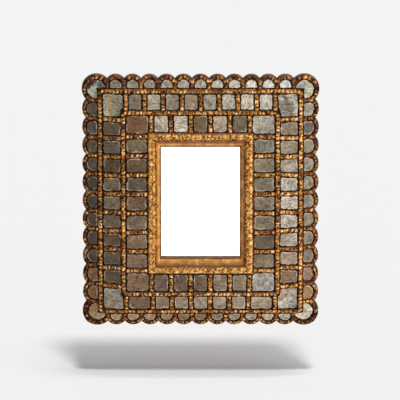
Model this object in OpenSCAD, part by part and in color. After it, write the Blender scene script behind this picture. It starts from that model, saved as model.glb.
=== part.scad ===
// Scalloped giltwood mirror with three rings of small mirror tiles.
// Front view is drawn flat: X to the right, Y up, Z out from the wall.
// The last step stands it up, so the wall is the plane Y = 0 and the front faces -Y.

/* [Mirror opening] */
// Width of the glass seen inside the sight frame
sight_w = 203; // [170:1:260]
// Height of the glass seen inside the sight frame
sight_h = 295; // [240:1:360]
// Thickness of the mirror plate
glass_t = 4; // [3:0.5:6]
// Reach of the plate under the sight frame's lip
rebate_w = 8; // [6:0.5:12]
// Play between the plate and the rebate on each side
glass_play = 1; // [0.5:0.1:2]

/* [Sight frame] */
// Width of the two upright mouldings beside the glass
sight_side_w = 35; // [31:0.5:50]
// Width of the two level mouldings above and below the glass
sight_level_w = 41.5; // [31:0.5:55]
// Width of the carved half-round crest
crest_w = 22; // [16:0.5:24]
// Thickness of the lip in front of the glass
lip_t = 8; // [5:0.5:10]
// Distance from the front of the back boards to the front of the glass
glass_seat = 10; // [7:0.5:13]
// Width of the flat fillet between the plain slope and the crest
fillet_w = 2.5; // [1.5:0.1:4]
// Hollow of the plain slope
slope_hollow = 1.2; // [0.6:0.1:2]
// Pitch of the carved bosses along the crest
boss_pitch = 21; // [16:1:30]
// Radius of the large bosses
boss_r = 7; // [5:0.5:7.5]
// Height of the large bosses over the crest
boss_rise = 1.5; // [0.8:0.1:2.5]
// Radius of the small buds between them
bud_r = 3.6; // [2.5:0.1:4]

/* [Mosaic rings] */
// Width of the inner ring of tiles beside the sight frame
inner_ring_side = 56; // [45:1:70]
// Width of the inner ring of tiles above and below the sight frame
inner_ring_level = 47; // [38:1:60]
// Plan width of the bevel at the sides, from ridge to scalloped edge
bevel_side = 100.5; // [90:0.5:120]
// Plan width of the bevel above and below, from ridge to scalloped edge
bevel_level = 86; // [80:0.5:105]
// How far the scalloped edge lies behind the ridge
bevel_drop = 36; // [28:1:40]
// How far the outer rail lies behind the ridge
outer_rail_drop = 19.4; // [15:0.1:21]
// Tiles in each level row of the inner ring
inner_cells_level = 5; // [3:1:7]
// Tiles in each upright column of the inner ring
inner_cells_side = 7; // [4:1:9]
// Tiles in the top row of the middle ring
middle_cells_top = 8; // [5:1:9]
// Tiles in the bottom row of the middle ring
middle_cells_bottom = 7; // [5:1:9]
// Pitch of the two wide cells that end the bottom row
wide_cell = 69; // [50:1:80]
// Tiles in each upright column of the middle ring
middle_cells_side = 9; // [5:1:11]
// From the sight frame's corner back to the last divider of the inner ring
inner_end_set = 10; // [7:0.5:16]
// From the ridge's corner back to the last divider of a middle row
middle_end_level = 12; // [8:0.5:20]
// From the ridge's corner back to the last divider of a middle column
middle_end_side = 25.5; // [8:0.5:32]

/* [Rails and beads] */
// Width of the two rails
rail_w = 12; // [10.5:0.5:16]
// Height of a rail's strip, without its beads
rail_h = 5; // [5:0.1:7]
// Radius of the rails' beads
rail_bead_r = 4.8; // [3:0.1:4.9]
// Width of the dividers between tiles
divider_w = 11.5; // [9.5:0.5:14]
// Height of a divider's strip, without its beads
divider_h = 4.8; // [4.6:0.1:6]
// Radius of the dividers' beads
divider_bead_r = 4.4; // [3:0.1:4.5]
// Clear gap between neighbouring beads
bead_gap = 0.6; // [0.3:0.1:3]

/* [Scalloped edge] */
// Arches along each side
arches = 11; // [7:2:13]
// Depth of the notches between arches
scallop_depth = 11; // [8:0.5:13]
// Width of the band round each arch
rim_w = 11; // [9.5:0.5:13]
// Height of the band, without its beads
rim_h = 5; // [4.6:0.1:7]
// Radius of the band's beads
rim_bead_r = 4; // [3:0.1:4.4]
// Beads on the band of one arch
arch_beads = 5; // [3:2:5]
// Radius of the round corner lobes
lobe_r = 38; // [34:0.5:42]
// From the edge lines back to the centre of a corner lobe
lobe_inset = 37; // [33:0.5:41]
// Width of the band round each corner lobe
lobe_rim_w = 13.5; // [11:0.5:16]
// Depth of the flat bed that is pared into the hip for each corner tile
hip_cut = 7; // [5:0.5:8]

/* [Tiles] */
// Thickness of the mirror tiles
tile_t = 3; // [2:0.5:4]
// Open joint round each tile
tile_gap = 2.5; // [1:0.5:4]
// Length clipped off the tiles' corners
tile_clip = 3; // [1:0.5:5]

/* [Boards] */
// Thickness of the half-lapped back boards
back_t = 18; // [16:1:24]
// Thickness of the flat boards under the inner ring
flat_t = 28; // [26:1:34]
// Thickness of the back panel
panel_t = 4; // [3:0.5:6]
// Width of the rebate that takes the back panel
panel_seat = 10; // [8:0.5:14]
// Play between the back panel and its rebate on each side
panel_play = 0.5; // [0.3:0.1:1]
// Play where the packing strips butt
strip_play = 0.2; // [0.1:0.1:0.5]
// Radius of the pegs through the corner laps
peg_r = 5; // [3:0.5:7]
// From a lap's inner edges to the nearer peg
peg_set = 36; // [20:1:45]
// Play round pegs and screws in their holes
hole_play = 0.1; // [0.05:0.05:0.2]

/* [Hanging] */
// Thickness of the bumpers, which is the gap between boards and wall
bumper_t = 7; // [7:0.5:10]
// Radius of the bumpers
bumper_r = 9; // [6:0.5:14]
// From the back frame's edges in to the bumpers' centres
bumper_set = 24; // [15:1:40]
// Half the distance between the two hanger rings' centres
hanger_x = 184; // [160:1:210]
// Height of the rings' hinge above the mirror's centre
hanger_z = 140; // [60:1:150]
// Width of the hanger straps
strap_w = 14; // [10:0.5:15]
// Thickness of the hanger straps
strap_t = 1.2; // [0.8:0.1:1.2]
// Length of the hanger straps below the hinge
strap_l = 44; // [40:1:60]
// Radius of the ring wire
wire_r = 1.6; // [1.2:0.1:1.7]
// Running clearance of the ring in the strap's eye
eye_play = 0.3; // [0.2:0.05:0.4]
// How far the rolled eye stands back from the strap's rear face
eye_set = 0.3; // [0.2:0.05:0.4]
// Radius of the ring's bow, to the wire's centre
bow_r = 12; // [11:0.5:13]
// Radius of the ring's two small bends
bend_r = 3; // [2:0.1:4]
// Straight leg between bend and bow
leg_l = 2; // [1:0.5:3]
// From the hinge down to the first strap screw
strap_screw_1 = 25; // [24:0.5:27]
// From the hinge down to the second strap screw
strap_screw_2 = 37; // [35:0.5:39]
// Radius of the screw shanks
shank_r = 1.5; // [1:0.1:1.8]
// Length of the strap screws under the head
strap_screw_l = 14; // [8:0.5:16]
// Length of the panel screws under the head
panel_screw_l = 12; // [8:0.5:14]
// Radius of the screw heads
head_r = 3.2; // [2.6:0.1:3.6]
// Height of the screw heads
head_h = 1.2; // [0.8:0.1:1.6]
// Panel screws along each upright edge
panel_screws_side = 3; // [2:1:5]
// Panel screws along each level edge
panel_screws_level = 2; // [2:1:4]

/* [Hidden] */
sides = ["top", "right", "bottom", "left"];
side_parts = ["back_board", "flat_board", "bevel_board", "sight_frame", "inner_rail", "outer_rail",
    "scallop_rim", "inner_dividers", "middle_dividers", "inner_tiles", "middle_tiles", "outer_tiles"];
$fn = 48;
bead_fn = 20;

wood = [0.52, 0.36, 0.22];
gilt = [0.80, 0.56, 0.22];
silvered = [0.62, 0.60, 0.55];
steel = [0.62, 0.63, 0.65];

// Levels, as distances from the wall
back_d = bumper_t;
board_d = back_d + back_t;
floor_d = board_d + flat_t;
glass_d = board_d + glass_seat;
lip_d = glass_d + lip_t;
fillet_d = floor_d - 1;
top_d = 2 * floor_d;

// Corner points of the nested rectangles, as half width and half height
sight = [sight_w / 2, sight_h / 2];
sight_out = sight + [sight_side_w, sight_level_w];
rail_in = sight_out + [inner_ring_side, inner_ring_level];
ridge = rail_in + [rail_w, rail_w];
bevel = [bevel_side, bevel_level];
outline = ridge + bevel;
rail_line = ridge + bevel * outer_rail_drop / bevel_drop;
beyond = ridge + bevel * 1.2;
rebate = sight + [rebate_w, rebate_w];
lobe = outline - [lobe_inset, lobe_inset];

// On side 0 and 2, across is height and along is width; on side 1 and 3 the other way round
function across(p, s) = s % 2 == 0 ? p[1] : p[0];
function along(p, s) = s % 2 == 0 ? p[0] : p[1];

// The bevel's level and tilt on each side
function bevel_d(s, v) = floor_d - bevel_drop * (v - across(ridge, s)) / across(bevel, s);
function tilt(s) = atan(bevel_drop / across(bevel, s));
function rail_inner(s) = across(rail_line, s) - rail_w / 2;
function rail_outer(s) = across(rail_line, s) + rail_w / 2;

// The chain of arches runs between the notches that it shares with the corner lobes
function notch_v(s) = across(outline, s) - scallop_depth;
function chain(s) = along(lobe, s) - sqrt(pow(lobe_r, 2) - pow(notch_v(s) - across(lobe, s), 2));
function arch_pitch(s) = 2 * chain(s) / arches;
function arch_r(s) = (pow(arch_pitch(s) / 2, 2) + pow(scallop_depth, 2)) / (2 * scallop_depth);
function arch_v(s) = across(outline, s) - arch_r(s);
function arch_u(s, i) = (i - (arches - 1) / 2) * arch_pitch(s);
function notch_u(s, i) = (i - arches / 2) * arch_pitch(s);

// Where the dividers stand: edges of the cells along one side
function even_edges(half, cells) = [for (i = [0:cells]) half * (2 * i / cells - 1)];
function inner_edges(s) = even_edges(along(sight_out, s) - inner_end_set,
    s % 2 == 0 ? inner_cells_level : inner_cells_side);
function middle_edges(s) =
    s == 0 ? even_edges(ridge[0] - middle_end_level, middle_cells_top)
    : s == 2 ? concat([-(ridge[0] - middle_end_level)],
        even_edges(ridge[0] - middle_end_level - wide_cell, middle_cells_bottom - 2),
        [ridge[0] - middle_end_level])
    : even_edges(ridge[1] - middle_end_side, middle_cells_side);

module stand() rotate([90, 0, 0]) children();
module at_side(s) rotate([0, 0, -90 * s]) children();
module sweep(half) translate([-half, 0, 0]) rotate([90, 0, 90]) linear_extrude(2 * half) children();
module raise(d0, d1) translate([0, 0, d0]) linear_extrude(d1 - d0) children();

// Plan of a mitred board between two nested rectangles
module mitred(a, b, s) polygon([[-along(a, s), across(a, s)], [along(a, s), across(a, s)],
    [along(b, s), across(b, s)], [-along(b, s), across(b, s)]]);

// Plan of a strip between two lines of one side
module strip(s, v0, v1) translate([-along(beyond, s), v0]) square([2 * along(beyond, s), v1 - v0]);

// A layer that lies on the bevel: the plan shape, cut square to the wall, from height h0 to h1
module on_bevel(s, h0, h1) {
    v0 = across(ridge, s);
    v1 = across(beyond, s);
    up = 1 / cos(tilt(s));
    intersection() {
        sweep(along(beyond, s)) polygon([[v0, bevel_d(s, v0) + h0 * up], [v1, bevel_d(s, v1) + h0 * up],
            [v1, bevel_d(s, v1) + h1 * up], [v0, bevel_d(s, v0) + h1 * up]]);
        linear_extrude(top_d) children();
    }
}

// Half-sunk bead: its centre lies on the top of a strip of height h
module bead_on_bevel(s, u, v, h, r)
    translate([u, v, bevel_d(s, v) + h / cos(tilt(s))]) sphere(r, $fn = bead_fn);
module bead_on_flat(u, v, h, r)
    translate([u, v, floor_d + h]) sphere(r, $fn = bead_fn);

// Centres of as many beads as fit in a length, spread evenly
function bead_row(half, r) = let (n = floor((2 * half + bead_gap) / (2 * r + bead_gap)))
    n < 2 ? [0] : [for (i = [0:n - 1]) (half - r) * (2 * i / (n - 1) - 1)];

// Rectangle with clipped corners, given by its two opposite corners
module clipped(u0, v0, u1, v1, c) polygon([[u0 + c, v0], [u1 - c, v0], [u1, v0 + c], [u1, v1 - c],
    [u1 - c, v1], [u0 + c, v1], [u0, v1 - c], [u0, v0 + c]]);

// Boards

// Board of the half-lapped back frame; top and bottom keep the rear half of the lap
module back_board(s) color(wood) stand() difference() {
    u = along(rail_line, s);
    lap_u = along(rebate, s);
    lap_d = s % 2 == 0 ? [back_d + back_t / 2, board_d] : [back_d, back_d + back_t / 2];
    at_side(s) raise(back_d, board_d) translate([-u, across(rebate, s)])
        square([2 * u, across(rail_line, s) - across(rebate, s)]);
    for (end = [-1, 1]) at_side(s) raise(lap_d[0] - (lap_d[0] == back_d ? 1 : 0),
            lap_d[1] + (lap_d[1] == board_d ? 1 : 0))
        translate([end > 0 ? lap_u : -u - 1, across(rebate, s) - 1])
            square([u - lap_u + 1, across(rail_line, s) - across(rebate, s) + 2]);
    raise(back_d - 1, back_d + panel_t) panel_outline(panel_seat);
    lap_pins(peg_r + hole_play, back_d - 1, board_d + 1);
    panel_pins(shank_r + hole_play, back_d - 1, back_d + panel_screw_l + 1);
    strap_pins(shank_r + hole_play, back_d - 1, back_d - strap_t + strap_screw_l + 1);
}

// Flat board that carries the inner ring and the inner rail
module flat_board(s) color(wood) stand() at_side(s)
    raise(board_d, floor_d) mitred(sight_out, ridge, s);

// Plan of the bevelled board with its arches and its halves of two corner lobes
module edge_plan(s) intersection() {
    union() {
        strip_half = along(lobe, s);
        translate([-strip_half, across(ridge, s)])
            square([2 * strip_half, notch_v(s) - scallop_depth / 2 - across(ridge, s)]);
        for (i = [0:arches - 1]) translate([arch_u(s, i), arch_v(s)]) circle(arch_r(s));
        for (end = [-1, 1]) translate([end * along(lobe, s), across(lobe, s)]) circle(lobe_r);
    }
    mitred(ridge, beyond, s);
}

// Bevelled board, rebated over the back frame and pared flat under the corner tiles
module bevel_board(s) color(wood) stand() difference() {
    v0 = across(ridge, s);
    v1 = across(rail_line, s);
    v2 = across(beyond, s);
    at_side(s) intersection() {
        sweep(along(beyond, s)) polygon([[v0, board_d], [v1, board_d], [v1, back_d], [v2, back_d],
            [v2, bevel_d(s, v2)], [v0, floor_d]]);
        linear_extrude(top_d) edge_plan(s);
    }
    for (corner = s == 0 ? [0, 3] : s == 1 ? [0, 1] : s == 2 ? [1, 2] : [2, 3])
        on_hip(corner, -hip_cut, hip_cut + 1) {
            middle_corner_plan(0);
            lobe_plan(0);
        }
}

// Corner 0 is top right, then clockwise; a layer parallel to the hip, from height h0 to h1
module at_corner(corner) scale([corner < 2 ? 1 : -1, corner % 3 == 0 ? 1 : -1, 1]) children();
module on_hip(corner, h0, h1) at_corner(corner) intersection() {
    hip_l = norm(beyond - ridge);
    translate([ridge[0], ridge[1], floor_d]) rotate([0, 0, atan2(bevel[1], bevel[0])])
        rotate([0, atan(bevel_drop / norm(bevel)), 0])
            translate([-hip_l, -hip_l, h0]) cube([3 * hip_l, 2 * hip_l, h1 - h0]);
    linear_extrude(top_d) children();
}

// Corner cell of the middle ring, notched by the inner rail's corner
module middle_corner_plan(inset) {
    u0 = ridge[0] - middle_end_level + divider_w / 2 + inset;
    v0 = ridge[1] - middle_end_side + divider_w / 2 + inset;
    u1 = rail_line[0] - rail_w / 2 - inset;
    v1 = rail_line[1] - rail_w / 2 - inset;
    difference() {
        clipped(u0, v0, u1, v1, tile_clip);
        translate([u0 - 1, v0 - 1]) square([ridge[0] + inset - u0 + 1, ridge[1] + inset - v0 + 1]);
    }
}

// Round cell of a corner lobe, notched by the outer rail's corner
module lobe_plan(inset) difference() {
    translate(lobe) circle(lobe_r - lobe_rim_w - inset);
    square(rail_line + [rail_w / 2 + inset, rail_w / 2 + inset]);
}

// Carved work

// Section of the sight moulding: lip, hollow slope, fillet and half-round crest
module sight_profile(w) {
    crest_r = crest_w / 2;
    slope_w = w - crest_w - fillet_w;
    rise = fillet_d - lip_d;
    chord = norm([slope_w, rise]);
    hollow_r = (pow(chord / 2, 2) + pow(slope_hollow, 2)) / (2 * slope_hollow);
    difference() {
        union() {
            polygon([[0, glass_d], [0, fillet_d], [w, fillet_d], [w, board_d], [rebate_w, board_d],
                [rebate_w, glass_d]]);
            translate([w - crest_w, fillet_d - 2]) square([crest_w, floor_d - fillet_d + 2]);
            intersection() {
                translate([w - crest_r, floor_d]) circle(crest_r);
                translate([w - crest_w, floor_d - 1]) square([crest_w, crest_r + 2]);
            }
        }
        translate([slope_w / 2, (lip_d + fillet_d) / 2]) rotate(atan2(rise, slope_w))
            translate([0, hollow_r - slope_hollow]) circle(hollow_r);
    }
}

// Mitred sight moulding with large bosses on the crest and pairs of buds between them
module sight_frame(s) color(gilt) stand() at_side(s) {
    w = across(sight_out, s) - across(sight, s);
    crest_v = across(sight_out, s) - crest_w / 2;
    crest_d = floor_d + crest_w / 2;
    half = along(sight_out, s) - crest_w / 2 - boss_pitch;
    n = floor(half / boss_pitch);
    bud_ring = crest_w / 2 - bud_r + boss_rise / 2;
    intersection() {
        sweep(along(sight_out, s)) translate([across(sight, s), 0]) sight_profile(w);
        linear_extrude(top_d) mitred(sight, sight_out, s);
    }
    for (i = [-n:n]) translate([i * boss_pitch, crest_v, crest_d - boss_r + boss_rise])
        sphere(boss_r, $fn = 24);
    for (i = [-n:n - 1], flank = [-1, 1]) translate([(i + 0.5) * boss_pitch, crest_v, floor_d])
        rotate([-35 * flank, 0, 0]) translate([0, 0, bud_ring]) sphere(bud_r, $fn = bead_fn);
}

// Rail between the inner and the middle ring
module inner_rail(s) color(gilt) stand() at_side(s) {
    v = across(ridge, s) - rail_w / 2;
    raise(floor_d, floor_d + rail_h) mitred(rail_in, ridge, s);
    for (u = bead_row(along(rail_in, s) - 1, rail_bead_r)) bead_on_flat(u, v, rail_h, rail_bead_r);
}

// Rail between the middle and the outer ring
module outer_rail(s) color(gilt) stand() at_side(s) {
    on_bevel(s, 0, rail_h) intersection() {
        strip(s, rail_inner(s), rail_outer(s));
        mitred(ridge, beyond, s);
    }
    for (u = bead_row(along(rail_line, s) - rail_w / 2 - 1, rail_bead_r))
        bead_on_bevel(s, u, across(rail_line, s), rail_h, rail_bead_r);
}

// Cell under one arch, from the outer rail to the arch's band
module arch_cell(s, i, inset) intersection() {
    translate([arch_u(s, i), arch_v(s)]) circle(arch_r(s) - rim_w - inset);
    translate([arch_u(s, i) - (arch_pitch(s) - divider_w) / 2 + inset, rail_outer(s) + inset])
        square([arch_pitch(s) - divider_w - 2 * inset, across(outline, s)]);
}

// Openwork band of arches with the short dividers between their cells
module scallop_rim(s) color(gilt) stand() at_side(s) {
    band_r = arch_r(s) - rim_w / 2;
    // Half the angle that the arch's beads share
    spread = asin((arch_pitch(s) / 2 - rim_bead_r - bead_gap) / band_r);
    foot = rail_outer(s) + rim_bead_r + bead_gap;
    fork = arch_v(s) + band_r * cos(spread) - 2 * rim_bead_r;
    column = bead_row((fork - foot) / 2 + rim_bead_r, rim_bead_r);
    on_bevel(s, 0, rim_h) difference() {
        intersection() {
            edge_plan(s);
            strip(s, rail_outer(s), across(beyond, s));
        }
        for (i = [0:arches - 1]) arch_cell(s, i, 0);
        for (end = [-1, 1]) translate([end * along(lobe, s), across(lobe, s)])
            circle(lobe_r - lobe_rim_w);
    }
    for (i = [0:arches - 1], k = [0:arch_beads - 1]) {
        a = spread * (2 * k / (arch_beads - 1) - 1);
        bead_on_bevel(s, arch_u(s, i) + band_r * sin(a), arch_v(s) + band_r * cos(a), rim_h, rim_bead_r);
    }
    for (i = [1:arches - 1], v = column)
        bead_on_bevel(s, notch_u(s, i), (foot + fork) / 2 + v, rim_h, rim_bead_r);
    for (end = [-1, 1], k = [0:3]) {
        // From the notch towards the hip, where the neighbour's half of the lobe begins
        a = atan2(notch_v(s) - across(lobe, s), chain(s) - along(lobe, s)) - 9 - 17 * k;
        r = lobe_r - lobe_rim_w / 2;
        if (along(lobe, s) + r * cos(a) + rim_bead_r * 1.6
                < along(ridge, s) + (across(lobe, s) + r * sin(a) - across(ridge, s))
                * along(bevel, s) / across(bevel, s))
            bead_on_bevel(s, end * (along(lobe, s) + r * cos(a)), across(lobe, s) + r * sin(a),
                rim_h, rim_bead_r);
    }
}

// Beaded dividers of the inner ring
module inner_dividers(s) color(gilt) stand() at_side(s) {
    v0 = across(sight_out, s);
    v1 = across(rail_in, s);
    for (u = inner_edges(s)) {
        raise(floor_d, floor_d + divider_h) translate([u - divider_w / 2, v0]) square([divider_w, v1 - v0]);
        for (v = bead_row((v1 - v0) / 2 - bead_gap, divider_bead_r))
            bead_on_flat(u, (v0 + v1) / 2 + v, divider_h, divider_bead_r);
    }
}

// Beaded dividers of the middle ring
module middle_dividers(s) color(gilt) stand() at_side(s) {
    v0 = across(ridge, s);
    v1 = rail_inner(s);
    for (u = middle_edges(s)) {
        on_bevel(s, 0, divider_h) translate([u - divider_w / 2, v0]) square([divider_w, v1 - v0]);
        for (v = bead_row((v1 - v0) / 2 - 2 * bead_gap, divider_bead_r))
            bead_on_bevel(s, u, (v0 + v1) / 2 + v, divider_h, divider_bead_r);
    }
}

// Mirror glass

// Tile outlines in the cells between neighbouring edges
module cell_tiles(edges, v0, v1) for (i = [0:len(edges) - 2])
    clipped(edges[i] + divider_w / 2 + tile_gap, v0 + tile_gap,
        edges[i + 1] - divider_w / 2 - tile_gap, v1 - tile_gap, tile_clip);

module inner_tiles(s) color(silvered) stand() at_side(s) raise(floor_d, floor_d + tile_t)
    cell_tiles(inner_edges(s), across(sight_out, s), across(rail_in, s));

module middle_tiles(s) color(silvered) stand() at_side(s) on_bevel(s, 0, tile_t)
    cell_tiles(middle_edges(s), across(ridge, s), rail_inner(s));

module outer_tiles(s) color(silvered) stand() at_side(s) on_bevel(s, 0, tile_t)
    for (i = [0:arches - 1]) arch_cell(s, i, tile_gap);

// The three tiles at each corner: flat inside, and two bedded on the pared hip
module corner_tiles() color(silvered) stand() for (corner = [0:3]) {
    at_corner(corner) raise(floor_d, floor_d + tile_t)
        clipped(sight_out[0] + tile_gap, sight_out[1] + tile_gap,
            rail_in[0] - tile_gap, rail_in[1] - tile_gap, tile_clip);
    on_hip(corner, -hip_cut, tile_t - hip_cut) {
        middle_corner_plan(tile_gap);
        lobe_plan(tile_gap);
    }
}

module mirror_plate() color("white") stand() raise(glass_d - glass_t, glass_d)
    square(2 * (rebate - [glass_play, glass_play]), center = true);

// Back of the frame

// Four strips that fill the rebate between plate and back panel, butted at the corners
module packing_strips() color(wood) stand() raise(back_d + panel_t, glass_d - glass_t) {
    upright = 2 * (sight[1] - strip_play);
    for (end = [-1, 1]) {
        translate([-rebate[0], end > 0 ? sight[1] : -rebate[1]]) square([2 * rebate[0], rebate_w]);
        translate([end > 0 ? sight[0] : -rebate[0], -upright / 2]) square([rebate_w, upright]);
    }
}

module panel_outline(reach) square(2 * (rebate + [reach, reach]), center = true);

module back_panel() color([0.66, 0.5, 0.33]) stand() difference() {
    raise(back_d, back_d + panel_t) panel_outline(panel_seat - panel_play);
    panel_pins(shank_r + hole_play, back_d - 1, back_d + panel_t + 1);
}

// Places of the pegs, the panel screws and the strap screws, as cylinders between two levels
module lap_pins(r, d0, d1) {
    for (x = [rebate[0] + peg_set, rail_line[0] - peg_set]) for (side = [-1, 1], end = [-1, 1])
        translate([side * x, end * (rebate[1] + rail_line[1]) / 2, d0]) cylinder(r = r, h = d1 - d0);
}
module panel_pins(r, d0, d1) {
    seat = rebate + [panel_seat / 2, panel_seat / 2];
    for (i = [0:panel_screws_side - 1], side = [-1, 1])
        translate([side * seat[0], (i - (panel_screws_side - 1) / 2) * sight_h / panel_screws_side, d0])
            cylinder(r = r, h = d1 - d0);
    for (i = [0:panel_screws_level - 1], end = [-1, 1])
        translate([(i - (panel_screws_level - 1) / 2) * sight_w / panel_screws_level, end * seat[1], d0])
            cylinder(r = r, h = d1 - d0);
}
module strap_pins(r, d0, d1) {
    for (side = [-1, 1], drop = [strap_screw_1, strap_screw_2])
        translate([side * hanger_x, hanger_z - drop, d0]) cylinder(r = r, h = d1 - d0);
}

module lap_pegs() color(wood) stand() lap_pins(peg_r, back_d, board_d);

module panel_screws() color(steel) stand() {
    panel_pins(shank_r, back_d, back_d + panel_screw_l);
    panel_pins(head_r, back_d - head_h, back_d);
}

module hanger_screws() color(steel) stand() {
    strap_pins(shank_r, back_d - strap_t, back_d - strap_t + strap_screw_l);
    strap_pins(head_r, back_d - strap_t - head_h, back_d - strap_t);
}

module wall_bumpers() color([0.12, 0.12, 0.12]) stand() for (side = [-1, 1], end = [-1, 1])
    translate([side * (rail_line[0] - bumper_set), end * (rail_line[1] - bumper_set)])
        cylinder(r = bumper_r, h = back_d);

// Hinge of a hanger ring: the bar's axis lies in the middle of the strap's eye
eye_r = wire_r + eye_play;
hinge_d = back_d - strap_t - eye_r - eye_set;
// Angles between which the rolled eye stands open, beside the strap
seam = [110, 145];

// Section of the strap: a flat leaf whose upper end is rolled round the ring's bar
module strap_section() {
    reach = 2 * (eye_r + strap_t);
    translate([-strap_l, back_d - strap_t]) square([strap_l, strap_t]);
    translate([0, hinge_d]) difference() {
        circle(eye_r + strap_t);
        circle(eye_r);
        polygon([[0, 0], for (a = seam) reach * [cos(a), sin(a)]]);
    }
}

module hanger_strap(side) color(steel) stand() translate([side * hanger_x, hanger_z, 0])
    difference() {
        translate([-strap_w / 2, 0, 0]) rotate([90, 0, 90]) linear_extrude(strap_w) strap_section();
        for (drop = [strap_screw_1, strap_screw_2]) translate([0, -drop, back_d - strap_t - 1])
            cylinder(r = shank_r + hole_play, h = strap_t + 2);
    }

// Ring of round wire, hanging down from its bar
module hanger_ring(side) color(steel) stand() translate([side * hanger_x, hanger_z, hinge_d]) {
    half_bar = bow_r - bend_r;
    translate([-half_bar, 0, 0]) rotate([0, 90, 0]) cylinder(r = wire_r, h = 2 * half_bar);
    for (end = [-1, 1]) {
        translate([end * half_bar, -bend_r, 0]) rotate([0, 0, end > 0 ? 0 : 90])
            rotate_extrude(angle = 90) translate([bend_r, 0]) circle(wire_r, $fn = 24);
        translate([end * bow_r, -bend_r - leg_l, 0]) rotate([-90, 0, 0]) cylinder(r = wire_r, h = leg_l);
    }
    translate([0, -bend_r - leg_l, 0]) rotate([0, 0, 180])
        rotate_extrude(angle = 180) translate([bow_r, 0]) circle(wire_r, $fn = 24);
}

for (s = [0:3]) {
    back_board(s);
    flat_board(s);
    bevel_board(s);
    sight_frame(s);
    inner_rail(s);
    outer_rail(s);
    scallop_rim(s);
    inner_dividers(s);
    middle_dividers(s);
    inner_tiles(s);
    middle_tiles(s);
    outer_tiles(s);
}
corner_tiles();
mirror_plate();
packing_strips();
back_panel();
panel_screws();
lap_pegs();
wall_bumpers();
hanger_strap(-1);  // hanger_strap_left
hanger_strap(1);  // hanger_strap_right
hanger_ring(-1);  // hanger_ring_left
hanger_ring(1);  // hanger_ring_right
hanger_screws();
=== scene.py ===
"""Upright wall mirror: bevelled giltwood frame, scalloped edge and three rings of small mirror tiles."""

import random
from functools import partial
from math import acos, asin, atan, atan2, cos, degrees, exp, pi, radians, sin, sqrt, tan

import bmesh
import bpy
import numpy as np
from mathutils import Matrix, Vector


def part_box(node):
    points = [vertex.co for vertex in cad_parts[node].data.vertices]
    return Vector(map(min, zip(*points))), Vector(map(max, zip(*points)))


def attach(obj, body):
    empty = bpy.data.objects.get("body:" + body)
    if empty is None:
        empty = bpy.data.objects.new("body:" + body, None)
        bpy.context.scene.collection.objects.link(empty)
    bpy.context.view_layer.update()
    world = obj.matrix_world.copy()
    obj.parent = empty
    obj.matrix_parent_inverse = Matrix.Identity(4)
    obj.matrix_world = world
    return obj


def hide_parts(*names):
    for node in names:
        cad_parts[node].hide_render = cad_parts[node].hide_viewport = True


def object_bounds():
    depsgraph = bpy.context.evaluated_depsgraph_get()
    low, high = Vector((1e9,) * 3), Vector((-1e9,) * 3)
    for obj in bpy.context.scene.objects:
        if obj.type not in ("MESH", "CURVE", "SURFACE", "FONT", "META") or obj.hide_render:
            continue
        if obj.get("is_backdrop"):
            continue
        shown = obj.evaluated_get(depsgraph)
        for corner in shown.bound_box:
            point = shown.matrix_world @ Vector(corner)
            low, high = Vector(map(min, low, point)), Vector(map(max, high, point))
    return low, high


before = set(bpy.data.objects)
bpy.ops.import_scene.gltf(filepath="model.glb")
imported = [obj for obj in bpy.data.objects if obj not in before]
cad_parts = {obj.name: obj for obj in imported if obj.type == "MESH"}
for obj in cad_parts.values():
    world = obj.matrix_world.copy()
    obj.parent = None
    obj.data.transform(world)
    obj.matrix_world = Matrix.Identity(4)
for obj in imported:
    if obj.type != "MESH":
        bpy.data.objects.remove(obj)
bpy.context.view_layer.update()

# Back frame: four cedar boards, half-lapped and pegged at the corners.
# They are sawn and left bare, and have gone brown and dusty against the wall.
SIDES = ("top", "right", "bottom", "left")
CEDAR = ("#a98463", "#8a6547", "#5f4029")


def linear(hexa):
    """The linear colour of an sRGB hex value, with alpha."""
    parts = [int(hexa[i : i + 2], 16) / 255 for i in (1, 3, 5)]
    return [p / 12.92 if p <= 0.04045 else ((p + 0.055) / 1.055) ** 2.4 for p in parts] + [1.0]


def join(node, *wires):
    """Sets a node's inputs, given in order or as a dictionary of names. Each takes a value, a hex colour, a
    socket, or the first live output of a node."""
    if wires and isinstance(wires[0], dict):
        pairs = [(node.inputs[key], value) for key, value in wires[0].items()]
    else:
        pairs = zip([socket for socket in node.inputs if socket.enabled], wires)
    for socket, value in pairs:
        if isinstance(value, str) and value.startswith("#"):
            value = linear(value)
        if isinstance(value, bpy.types.Node):
            value = next(output for output in value.outputs if output.enabled)
        if isinstance(value, bpy.types.NodeSocket):
            node.id_data.links.new(value, socket)
        else:
            socket.default_value = value


def add_node(tree, kind, *wires, stops=(), **settings):
    """Adds a node and joins its inputs, which for noise are place, scale, detail and roughness. Its kind may
    be followed by its operation or data type. Stops are the places and hex colours of a colour ramp."""
    kind, _, option = kind.partition(" ")
    kinds = [family + kind for family in (tree.bl_idname[:-4], "ShaderNode", "FunctionNode", "")]
    made = tree.nodes.new(next(name for name in kinds if hasattr(bpy.types, name)))
    if option:
        settings["operation" if hasattr(made, "operation") else "data_type"] = option
    for key, value in settings.items():
        setattr(made, key, value)
    for _ in stops[2:]:
        made.color_ramp.elements.new(1.0)
    for number, (place, hexa) in enumerate(stops):
        made.color_ramp.elements[number].position = place
        made.color_ramp.elements[number].color = linear(hexa)
    join(made, *wires)
    return made


def new_material(name, fixed):
    """A material, its Principled shader with values set on the sockets, and what adds a node to its tree."""
    material = bpy.data.materials.new(name)
    material.use_nodes = True
    shader = material.node_tree.nodes["Principled BSDF"]
    join(shader, fixed)
    return material, shader, partial(add_node, material.node_tree)


def along_grain(add, place, axis):
    """Coordinates drawn out twenty times along the grain."""
    return add("Mapping", {"Vector": place, "Scale": [0.05 if axis == other else 1.0 for other in "xyz"]})


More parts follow.
